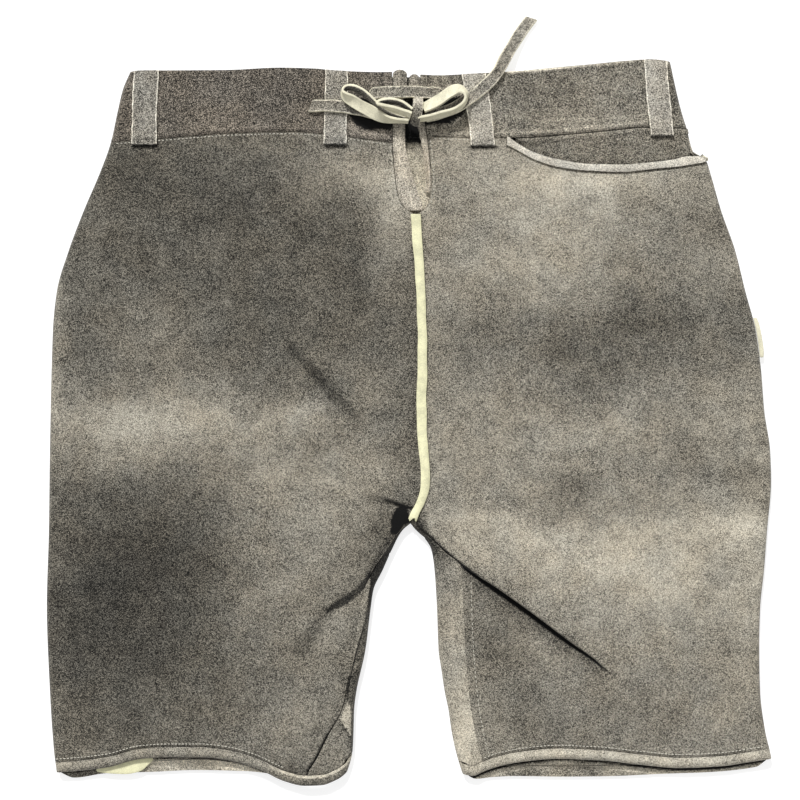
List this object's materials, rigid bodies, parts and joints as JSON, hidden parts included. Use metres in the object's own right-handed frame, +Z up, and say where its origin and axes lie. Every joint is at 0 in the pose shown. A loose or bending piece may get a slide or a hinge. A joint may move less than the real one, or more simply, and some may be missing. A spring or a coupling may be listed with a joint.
{
  "type": "lederhosen",
  "caption": "Short suede trousers laid flat on their back, with waistband, belt loops, slit fly, slanted side pocket, piped centre seam, bound hems and a tied leather lace",
  "frame": {"origin": "centre of the garment's box without its lace, on the surface that its back rests on", "axes": "+Z up from that surface, the shortest way through the garment; +Y from the leg openings to the waist; +X towards the wearer's left side"},
  "size_m": [0.493, 0.5249, 0.0215],
  "materials": {
    "suede_grey": "matt suede nap, mottled grey-brown",
    "suede_trim": "matt suede nap, slightly lighter grey-brown",
    "cream_leather": "matt cream split leather",
    "lace_leather": "matt grey thong with cream edges and reverse"
  },
  "bodies": {
    "root": {"front_left": "suede_grey", "front_right": "suede_grey", "back_left": "suede_grey", "back_right": "suede_grey", "waistband_left": "suede_grey", "waistband_right": "suede_grey", "hem_left": "suede_grey", "hem_right": "suede_grey", "fly_facing_left": "suede_grey", "fly_facing_right": "suede_grey", "fly_gusset": "suede_trim", "pocket_back": "suede_trim", "belt_loop_1": "suede_trim", "belt_loop_2": "suede_trim", "belt_loop_3": "suede_trim", "belt_loop_4": "suede_trim", "front_seam_piping": "cream_leather", "pocket_binding": "cream_leather", "side_tab_right": "cream_leather", "hem_tab_left": "cream_leather", "lace_bar": "lace_leather", "lace_knot": "lace_leather", "lace_loop_left": "lace_leather", "lace_loop_right": "lace_leather", "lace_tail_left": "lace_leather", "lace_tail_right": "lace_leather"}
  },
  "joints": []
}
